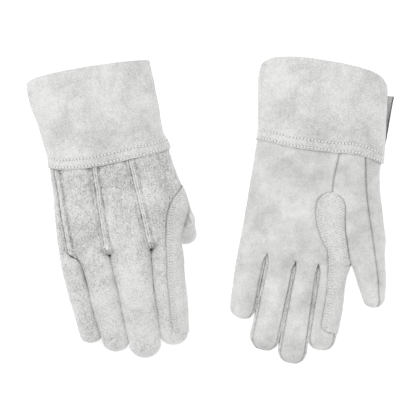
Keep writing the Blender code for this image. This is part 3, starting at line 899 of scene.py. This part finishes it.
def inset_line(grid, normals, depth, far):
    """A line on a grid at a distance from its left edge, or its right edge where far."""
    distance = arc(grid)[1][:, ::-1] if far else arc(grid)[0]
    if far:
        grid, normals = grid[:, ::-1], normals[:, ::-1]
    line, normal = [], []
    for away, points, norms in zip(distance, grid, normals):
        if away[-1] < depth * 2.1:
            continue
        line.append([np.interp(depth, away, points[:, i]) for i in range(3)])
        normal.append([np.interp(depth, away, norms[:, i]) for i in range(3)])
    return np.array(line), np.array(normal)


# ------------------------------------------------------------------ building a glove


def on_hand(glove, obj, node=None):
    """A piece that rides on the hand's body; the CAD node that it stands for is hidden."""
    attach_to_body(obj, f"{glove.name}_hand")
    if node:
        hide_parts(f"{glove.name}_{node}")


def blend_zone(glove, digit, at_knuckle):
    """Where a finger bends: from and to, in metres."""
    low, high = (digit.knuckle - 8, digit.knuckle + 10) if at_knuckle else (1.5, 18)
    if digit.name == "thumb":
        low, high = (0.0, 22) if digit.bend else (1.0, 15)
    return [tuple(place_on_digit(glove, digit, 0.0, v, 0.0) * MM) for v in (low, high)]


def attach(obj, glove, digit, part):
    """Rides on the hand's body when the part is on the hand; other parts are baked in place."""
    hand, body = f"{glove.name}_hand", f"{glove.name}_{digit.name}"
    if part == "hand":
        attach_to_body(obj, hand)
    elif digit.name == "thumb":
        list(blend_zone(glove, digit, False))
        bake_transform(obj)
    elif part == "near":
        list(blend_zone(glove, digit, False))
        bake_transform(obj)
    else:
        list(blend_zone(glove, digit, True))
        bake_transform(obj)


def cut_row(digit, rows):
    """The row at which a finger's near piece meets its end piece."""
    return int(np.searchsorted(rows, digit.knuckle - 9))


def strip_grid(glove, k, side):
    """A strip's points with relief, their normals, its row numbers and the painted shade along its
    seams.
    """
    digit = glove.digits[k]
    rows = digit_rows(digit)
    centre = centre_line(glove, k, rows)
    cols = (THUMB_COLS if k == THUMB else STRIP_COLS)[side]
    points = strip(glove, k, side, cols)
    tip = place_on_digit(glove, digit, 0.0, digit.length + 1.0, 0.0)
    tip = unit(tip - place_on_digit(glove, digit, 0.0, digit.length, 0.0))
    normals = grid_normals(points, centre)
    normals[-1] = tip
    relief, seam = strip_relief(glove, k, side, points, rows)
    relief[-1] = 0
    relief[-6:-1] *= np.linspace(0.9, 0.2, 5)[:, None]
    points = points + normals * relief[..., None]
    points[-1] = points[-1].mean(0)
    normals = grid_normals(points, centre)
    normals[-1] = tip
    return points, normals, rows, seam


def skin(glove):
    """The hand's and digits' leather."""
    sides = [(k, side) for k in range(5) for side in ("back", "front")]
    glove.grids = {(k, side): strip_grid(glove, k, side) for k, side in sides}
    palm = []
    for k, side in sides:
        digit = glove.digits[k]
        points, normals, rows, seam = glove.grids[k, side]
        grain = side == "front" or k == THUMB
        material = "palm_grain" if grain else "back_split"
        cut = cut_row(digit, rows)
        parts = [("hand", 0, ROOT_ROW + 1), ("near", ROOT_ROW, cut + 1), ("end", cut, len(rows))]
        if k == THUMB:
            parts = [parts[0], ("end", ROOT_ROW, len(rows))]
        for part, low, high in parts:
            piece = points[low:high], normals[low:high], seam[low:high]
            if part == "hand" and side == "front" and k < THUMB:
                palm.append(piece)
                continue
            obj = shell(
                f"{glove.name}_{digit.name}_{side}_leather_{part}", glove, piece[0], piece[1],
                material, pole=part == "end", seam=piece[2],
            )
            attach(obj, glove, digit, part)
            replace_node(glove.name, digit.name, side, part)
    # the palm is one panel of four strips
    points, normals, seam = (
        np.concatenate([part[i][:, min(n, 1):] for n, part in enumerate(palm)], axis=1)
        for i in range(3)
    )
    for border in np.cumsum([part[0].shape[1] - 1 for part in palm])[:-1]:
        normals[:, border] = normals[:, border - 1] + normals[:, border + 1]
    obj = shell(f"{glove.name}_palm_leather", glove, points, unit(normals), "palm_grain", seam=seam)
    on_hand(glove, obj, "palm_panel")


def replace_node(name, digit, side, part):
    """Hides the CAD node that the piece stands for."""
    nodes = {
        ("hand", "back"): f"{name}_back_panel_{digit}",
        ("near", "back"): f"{name}_{digit}_back",
        ("near", "front"): f"{name}_{digit}_front",
        ("end", "back"): f"{name}_{digit}_tip",
    }
    if digit == "thumb":
        nodes = {
            ("hand", "back"): f"{name}_thumb_back_panel",
            ("hand", "front"): f"{name}_thumb_front_panel",
            ("end", "back"): f"{name}_thumb_end",
        }
    if digit == "little":
        nodes["near", "back"] = f"{name}_little_base"
        nodes.pop(("near", "front"))
    if (part, side) in nodes:
        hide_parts(nodes[part, side])


# ------------------------------------------------------------------ the strap


def skin_tree(grids):
    """The leather's outer faces, for laying the strap on."""
    verts, faces, count = [], [], 0
    for points in grids:
        rows, cols = points.shape[:2]
        verts.append(points.reshape(-1, 3))
        faces.append(grid_quads(rows, cols) + count)
        count += rows * cols
    return BVHTree.FromPolygons(np.concatenate(verts).tolist(), np.concatenate(faces).tolist())


def snap(tree, points, hints):
    """Points moved onto the skin along their outward hints."""
    above, reach = 7.0, 30.0
    out = np.array(points, float)
    flat = out.reshape(-1, 3)
    for i, hint in enumerate(hints.reshape(-1, 3)):
        spot = tree.ray_cast(Vector(flat[i] + hint * above), -Vector(hint), reach)[0]
        flat[i] = tree.find_nearest(Vector(flat[i]))[0] if spot is None else spot
    return out


def columns_at(grid, share):
    """A grid's points at a share of its width: share has a row for each row."""
    cols = grid.shape[1]
    at = np.clip(share, 0, 1) * (cols - 1)
    low = np.minimum(np.floor(at).astype(int), cols - 2)
    f = (at - low)[..., None]
    r = np.arange(len(grid))[:, None]
    return grid[r, low] * (1 - f) + grid[r, low + 1] * f


def edge_share(glove, grid, knots, last_hit):
    """For each row, the share of the grid's width at which it crosses the strap's edge line."""
    flat = glove.local(grid)
    beyond = flat[..., 0] - track(knots, flat[..., 1])
    shares = np.ones(len(grid))
    for r, row in enumerate(beyond):
        hits = np.where((row[:-1] < 0) & (row[1:] >= 0))[0]
        if len(hits):
            c = hits[-1] if last_hit else hits[0]
            shares[r] = (c - row[c] / (row[c + 1] - row[c])) / (len(row) - 1)
    return shares


def roll_edges(glove, points, normals, edge):
    """Rolls the strap's edges over, presses its stitch rows in and roughens it."""
    roll = -0.45 * bell(edge, 0.7)
    for row in STRAP_ROWS:
        roll = roll - 0.16 * bell(edge - row, 0.6)
    flat = glove.local(points)
    roll += 0.22 * noise(flat, 3.4, 41) + 0.1 * noise(flat, 1.7, 43)
    return points + normals * roll[..., None]


def strap_shade(edge):
    """Painted shade on the strap beside its raised edges and along its pressed-in stitch rows."""
    shade = bell(edge, 0.85)
    for row in STRAP_ROWS:
        shade = shade + 0.3 * bell(edge - row, 0.7)
    return shade


def strap_stitches(glove, grid, normals, edges, place):
    """Two rows of stitches along each edge, which is given as (far, name)."""
    for label, depth in zip(("outer", "inner"), STRAP_ROWS):
        for far, name in edges:
            line, normal = inset_line(grid, normals, depth, far)
            if len(line) < 4:
                continue
            for made in stitches(name.format(label), glove, line, normal, **STRAP_STITCH):
                place(made)


def strap(glove):
    """The reinforcing strap: two legs on the hand and one sheet along the index finger."""
    name, index = glove.name, glove.digits[3]
    back, back_normals, rows, _ = glove.grids[3, "back"]
    front, front_normals, _, _ = glove.grids[3, "front"]
    last = index.length - glove.strap_end
    cols_back, cols_front = 30, 26

    def round_end(share, target, corner=7):
        """The strap's corner is rounded over its last few millimetres."""
        end = np.clip((rows - (last - corner)) / corner, 0, 1)
        return share + (target - share) * (1 - np.sqrt(np.maximum(1 - end**2, 0)))

    edge_back = round_end(edge_share(glove, back, glove.seams["strap_back_left"], False), 0.78)
    edge_front = round_end(edge_share(glove, front, glove.seams["strap_palm_left"], True), 0.9)
    edge_front = np.where(rows < 0, edge_front[ROOT_ROW], edge_front)
    share_back = edge_back[:, None] + (1 - edge_back[:, None]) * np.linspace(0, 1, cols_back)
    share_front = 1 + (edge_front[:, None] - 1) * np.linspace(0, 1, cols_front)
    grid, norm = (
        np.concatenate([columns_at(a, share_back)[:, :-1], columns_at(b, share_front)], 1)
        for a, b in ((back, front), (back_normals, front_normals))
    )
    # the seam beneath is bridged: the lift is even, and the normals are smoothed across it
    for _ in range(6):
        norm[:, 1:-1] = norm[:, :-2] + norm[:, 1:-1] * 2 + norm[:, 2:]
        norm = unit(norm)
    raised = grid + norm * STRAP_LIFT
    for _ in range(3):
        raised[:, 1:-1] = 0.25 * raised[:, :-2] + 0.5 * raised[:, 1:-1] + 0.25 * raised[:, 2:]
    edge = edge_distance(raised)
    raised = roll_edges(glove, raised, norm, edge)
    shade = strap_shade(edge)
    cut = cut_row(index, rows)
    top = np.where((rows >= 0) & (rows <= last))[0][-1] + 1
    for part, low, high, node in (
        ("near", ROOT_ROW, cut + 1, "index_strap"), ("end", cut, top, "index_strap_tip"),
    ):
        g, n = raised[low:high], norm[low:high]
        obj = shell(
            f"{name}_index_strap_leather_{part}", glove, g, n, "strap_split", STRAP_THICK,
            seam=shade[low:high],
        )
        attach(obj, glove, index, part)
        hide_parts(f"{name}_{node}")
        edges = [
            (far, f"{name}_strap_{side}_{{}}_stitches_{part}")
            for far, side in ((False, "back"), (True, "palm"))
        ]
        strap_stitches(glove, g, n, edges, lambda made: attach(made, glove, index, part))
    # the legs on the hand
    join, join_normals = raised[ROOT_ROW], norm[ROOT_ROW]
    middle = cols_back - 1
    own = skin_tree([back[: ROOT_ROW + 12]])
    whole = skin_tree([grid[0] for grid in glove.grids.values()])
    legs = {
        "back": leg(glove, own, join[: middle + 1], join_normals[: middle + 1], "back"),
        "palm": leg(glove, whole, join[middle:][::-1], join_normals[middle:][::-1], "palm"),
    }
    for side, (g, n) in legs.items():
        obj = shell(
            f"{name}_strap_leather_{side}_leg", glove, g, n, "strap_split", STRAP_THICK,
            seam=strap_shade(edge_distance(g)),
        )
        on_hand(glove, obj, f"strap_{side}_leg")
        edges = [(False, f"{name}_strap_{side}_leg_near_{{}}_stitches")]
        if side == "palm":
            edges.append((True, f"{name}_strap_palm_leg_far_{{}}_stitches"))
        strap_stitches(glove, g, n, edges, lambda made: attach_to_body(made, f"{name}_hand"))


def leg(glove, tree, join, join_normals, side):
    """A leg of the strap on the hand, from its top to where it joins the sheet that goes round
    the finger."""
    palm = side == "palm"
    knots = glove.seams[f"strap_{side}_left"]
    top = knots[0][0]
    cols = len(join)
    rows, crowding = 46, 1.35  # rows crowd together at the rounded top
    t = (np.linspace(0, 1, rows) ** crowding)[:, None]
    ends = np.full((1, cols), glove.crotch[1]) if palm else glove.local(join)[None, :, 1]
    s = top + (ends - top) * t
    w = np.linspace(0, 1, cols)[None, :]
    if palm:
        left, right = track(knots, s[:, :1]), track(glove.seams["palm"], s[:, -1:])
        angle = hand_angle(glove, s, left + np.maximum(right - left, 0.8) * w, True)
    else:
        first = hand_angle(glove, s[:, :1], track(knots, s[:, :1]), False, True)
        angle = first + (BACK_LEG_END - first) * w
    points = hand_point(glove, s, angle, not palm)
    hints = unit(hand_point(glove, s, angle, not palm, 2.0) - points)
    if palm:
        hints = unit(hints * 0.35 + np.array((0, 0, -glove.up)) * 0.65)
    spots = snap(tree, points, hints)
    for _ in range(4):
        spots[1:-1, 1:-1] = (spots[1:-1, 1:-1] * 2 + neighbours(spots)) / 6
    mean_s = s.mean(1)
    x = 0 * mean_s + 10
    centre = glove.world(x, mean_s, glove.middle_height(x, mean_s))
    normals = grid_normals(spots, centre)
    if (normals[5:-5, 3:-3] * hints[5:-5, 3:-3]).sum() < 0:
        normals = -normals
    for _ in range(4):
        normals[1:-1, 1:-1] = normals[1:-1, 1:-1] * 2 + neighbours(normals)
        normals = unit(normals)
    raised = spots + normals * STRAP_LIFT
    raised = roll_edges(glove, raised, normals, edge_distance(raised))
    # the last rows run onto the sheet that goes round the finger
    share = smooth(1 - (ends - s) / 9)[..., None]
    raised = raised + (join - raised[-1])[None] * share
    return raised, unit(mix(normals, join_normals[None] + 0 * normals, share[..., 0]))


# ------------------------------------------------------------------ welts


def fold(name, glove, line, normals, half_width, half_height, rough, sides=10):
    """A rough fold of leather of rounded section along a line, with closed ends."""
    along = unit(np.gradient(line, axis=0))
    side = unit(np.cross(along, normals))
    up = np.cross(side, along)
    if (up * normals).sum() < 0:
        up = -up
    turns = np.arange(sides) * math.tau / sides
    n = len(line)
    from_end = np.minimum(np.arange(n) + 0.6, n - 1 - np.arange(n) + 0.6)
    taper = np.clip(from_end / 2.5, 0.2, 1) ** 0.5
    ring = (
        side[:, None] * (np.cos(turns) * half_width)[None, :, None]
        + up[:, None] * (np.sin(turns) * half_height)[None, :, None]
    ) * taper[:, None, None]
    points = line[:, None] + ring
    points = points + ring * (rough * noise(glove.local(points), 2.2, 51))[..., None]
    points = points + (side * (0.35 * noise(glove.local(line), 6, 53))[:, None])[:, None]
    verts = points.reshape(-1, 3)
    attributes = {"rest": glove.local(verts) * MM, "seam": np.zeros(len(verts))}
    obj = make_object(name, verts, tube_faces(n, sides), "welt_split", attributes)
    edit(obj, face_outward)
    return obj


def welts(glove):
    """Welted seams between the back strips: a ridge, a lower fold beside it and a frayed end."""
    first, last, frayed = -88, -1.0, -8.5  # row numbers where a welt starts, ends and frays
    for k, label in enumerate(BORDERS[:3]):
        name = f"{glove.name}_welt_{label}"
        points, normals, rows, _ = glove.grids[k, "back"]
        beside, beside_normals, _, _ = glove.grids[k + 1, "back"]
        begin, end, at = np.searchsorted(rows, (first, last, frayed))
        normal = unit(relax(normals[begin:end, -1] + beside_normals[begin:end, 0], 6))
        line = relax(points[begin:end, -1] + normal * 0.35, 2)
        obj = fold(f"{name}_leather", glove, line, normal, 0.95, 0.9, 0.45)
        on_hand(glove, obj, f"welt_{label}")
        short = slice(begin, end - 7)
        line, normal = inset_line(beside[short], beside_normals[short], 2.1, False)
        line = relax(line - relax(normal, 4) * 0.12, 3)
        obj = fold(f"{name}_fold", glove, line, normal, 0.75, 0.6, 0.55)
        on_hand(glove, obj)
        tuft(glove, f"{name}_frayed_end", k + 1, points[at, -1], normals[at, -4])


def tuft(glove, name, seed, spot, normal):
    """Frayed ends of leather and thread where a welt stops."""
    verts, faces = [], []
    for i in range((6, 10, 14)[seed - 1]):
        a, b, c = (
            abs(math.sin(k * (i + 1) + seed * m))
            for k, m in ((12.9, 7.1), (78.2, 3.7), (37.7, 5.3))
        )
        turn = math.tau * (a + 0.13 * i)
        size = 0.9 + 2.6 * b * b
        run = glove.across * math.cos(turn) * 0.9 + glove.along * math.sin(turn)
        start = spot + normal * (0.35 + 0.5 * c) + run * 0.5 * c + glove.along * (a - 0.5) * 2.2
        bend = run * 0.3 * math.sin(9.1 * i) + np.cross(normal, run) * (c - 0.5) * 1.6
        end = start + run * size + bend - normal * (0.15 + 0.5 * b)
        add_capsule(verts, faces, start, end, normal, 0.26 + 0.3 * c, 0.35)
    verts = np.array(verts)
    obj = make_object(name, verts, faces, "thread_white", {"rest": glove.local(verts) * MM})
    on_hand(glove, obj)


# ------------------------------------------------------------------ the cuff


def cuff_points(glove, s, angle, reach=0.0):
    middle, half_width, half_thick = hand_sizes(glove, np.maximum(s, HAND_START), False)
    left, right = track(glove.cuff_left, s), track(glove.cuff_right, s)
    free = s < HAND_START
    middle = np.where(free, (left + right) / 2, middle)
    half_width = np.where(free, (right - left) / 2, half_width)
    half_thick = np.where(free, track(glove.cuff_half_thick, s), half_thick)
    across, height = oval(half_width, half_thick, angle, HAND_SQUARENESS, CUFF_LIFT)
    x = middle + across
    return glove.world(x + reach, s, glove.middle_height(x, s) + glove.up * height), x


def cuff_relief(glove, points, s, dip):
    """Height of the cuff's folds, stitch rows and puckers above its smooth shape."""
    flat = glove.local(points)
    relief = 0.9 * noise(flat, 46, 61) + 0.4 * noise(flat, 19, 63) + 0.1 * noise(flat, 4, 65)
    relief = relief * smooth((dip + 6 - s) / 16) + 0.25 * noise(flat, 9, 67)
    for _, row in CUFF_ROWS:
        near = bell(s - dip - row, 1.6)
        relief -= 0.34 * near
        relief += 0.16 * near * np.sin(flat[..., 0] * math.tau / 2.9)
    waves = np.sin(flat[..., 0] * math.tau / 5.3 + 2 * noise(flat, 12, 69))
    relief += 0.3 * bell(s - dip + 3.3, 2.2) * (1 + 0.7 * waves)
    return relief


def cuff_sheet(glove, points, s, dip, middle_s, edge=0.0, wrap=False):
    """The cuff's points with relief, and their normals."""
    centre = glove.world(0 * middle_s, middle_s, glove.middle_height(0 * middle_s, middle_s))
    relief = cuff_relief(glove, points, s, dip) - edge
    points = points + grid_normals(points, centre, wrap) * relief[..., None]
    return points, grid_normals(points, centre, wrap)


def ring_line(grid, offset, row):
    """A closed line round the band at a distance from the cuff's seam."""
    around = list(range(grid.shape[1])) + [0]
    return np.array([
        [np.interp(row, offset[::-1, c], grid[::-1, c, i]) for i in range(3)] for c in around
    ])


def cuff_band(glove):
    """The band sewn round the wrist with two rows of stitches."""
    turns = np.linspace(0, math.tau, 201)[:-1][None, :]
    depth = np.linspace(0, 1, 16)[:, None]
    _, x = cuff_points(glove, 0.0 * turns, turns)
    dip = track(glove.cuff_dip, x)
    ragged = 0.35 * noise(np.stack([x, 0 * x, np.cos(turns) * 30], -1), 5, 71)
    s = (CUFF_EDGE + dip + ragged) + (BAND_TOP - CUFF_EDGE - ragged) * depth
    points, _ = cuff_points(glove, s, turns + 0 * s)
    edge = 0.55 * bell(s - dip - CUFF_EDGE, 0.8)
    points, normals = cuff_sheet(glove, points, s, dip, s[:, 0], edge, wrap=True)
    # painted shade along the pressed-in stitch rows
    stitch_row_shade = sum(0.6 * bell(s - dip - row, 1.0) for _, row in CUFF_ROWS)
    obj = shell(
        f"{glove.name}_cuff_band_leather", glove, points, normals, "cuff_split", BAND_THICK,
        wrap=True, seam=stitch_row_shade,
    )
    on_hand(glove, obj, "cuff_band")
    for label, row in CUFF_ROWS:
        line, normal = (ring_line(grid, s - dip, row) for grid in (points, normals))
        thread, holes = stitches(
            f"{glove.name}_cuff_{label}_stitches", glove, line, normal, **CUFF_STITCH
        )
        on_hand(glove, thread, f"cuff_thread_{label}")
        on_hand(glove, holes)


def cuff_sleeve(glove):
    """The slit sleeve, from where it leaves the band to its rim. On the left glove its edge flares.
    """
    name = glove.name
    rows, cols = 62, 221
    share = np.linspace(0, 1, cols)[None, :]
    rise = np.linspace(0, 1, rows)[:, None]
    rim = track(glove.rim, share)
    rim = rim + 0.5 * noise(np.stack([share * 240, 0 * share, 0 * share], -1), 16, 73)
    flap = glove.flap * np.maximum(0, (share - 0.86) / 0.14) ** 1.5
    # the slit is on the thumb's side and opens from foot to rim
    foot_degrees, rim_degrees = 1.5, 6.5
    slit = math.radians(foot_degrees)
    _, x = cuff_points(glove, 0 * share, math.pi / 2 + slit + (math.tau - 2 * slit) * share)
    dip = track(glove.cuff_dip, x)
    foot = BAND_TOP + dip
    s = foot + (rim - foot) * rise
    slit = np.radians(rim_degrees - (rim_degrees - foot_degrees) * (1 - rise))
    angle = math.pi / 2 + slit + (math.tau - 2 * slit) * share
    points, _ = cuff_points(glove, s, angle, reach=flap * rise**1.1)
    points, normals = cuff_sheet(glove, points, s, dip, s.mean(1))
    obj = shell(
        f"{name}_cuff_sleeve_leather", glove, points, normals, "cuff_split", SLEEVE_THICK
    )
    top = 0.0 if glove.up > 0 else math.pi
    hinge, _ = cuff_points(glove, np.array(BAND_TOP - 0.5), np.array(top))
    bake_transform(obj)
    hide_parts(f"{name}_cuff_sleeve")


# ------------------------------------------------------------------ stage


def set_stage():
    """A pale floor, soft light and the camera straight above."""
    scene = bpy.context.scene
    half, below = 3.0, 0.0006
    corners = [(-half, -half, 0), (half, -half, 0), (half, half, 0), (-half, half, 0)]
    mesh = bpy.data.meshes.new("studio_floor")
    mesh.from_pydata(corners, [], [[0, 1, 2, 3]])
    floor = bpy.data.objects.new("studio_floor", mesh)
    floor.location = (0, 0, -below)
    scene.collection.objects.link(floor)
    material = bpy.data.materials.new("studio_floor")
    material.use_nodes = True
    settings(
        material.node_tree.nodes["Principled BSDF"], Base_Color=(0.9, 0.9, 0.9, 1), Roughness=1.0,
        Specular_IOR_Level=0.0, Emission_Color=(1, 1, 1, 1), Emission_Strength=0.42,
    )
    mesh.materials.append(material)

    scene.world = bpy.data.worlds.new("studio")
    scene.world.use_nodes = True
    settings(scene.world.node_tree.nodes["Background"], Color=(1, 1, 1, 1), Strength=0.62)
    for label, place, watts, width in (
        ("key_light", (-0.9, 0.9, 1.9), 16, 1.2), ("fill_light", (1.2, -0.6, 1.6), 5, 1.6),
    ):
        light = bpy.data.lights.new(label, "AREA")
        light.energy, light.size = watts, width
        lamp = bpy.data.objects.new(label, light)
        lamp.location = place
        lamp.rotation_euler = (-Vector(place)).to_track_quat("-Z", "Y").to_euler()
        scene.collection.objects.link(lamp)
    height, gloves_height, seen_width, sensor = 2.0, 0.035, 0.378, 36
    camera = bpy.data.cameras.new("camera")
    camera.sensor_width = sensor
    camera.lens = sensor * (height - gloves_height) / seen_width
    camera.clip_end = 20
    scene.camera = bpy.data.objects.new("camera", camera)
    scene.camera.location = (0, 0, height)
    scene.collection.objects.link(scene.camera)
    scene.view_settings.view_transform = "Standard"


make_materials()
for glove in (RIGHT, LEFT):
    plan_crotches(glove)
    skin(glove)
    strap(glove)
    welts(glove)
    cuff_band(glove)
    cuff_sleeve(glove)
set_stage()
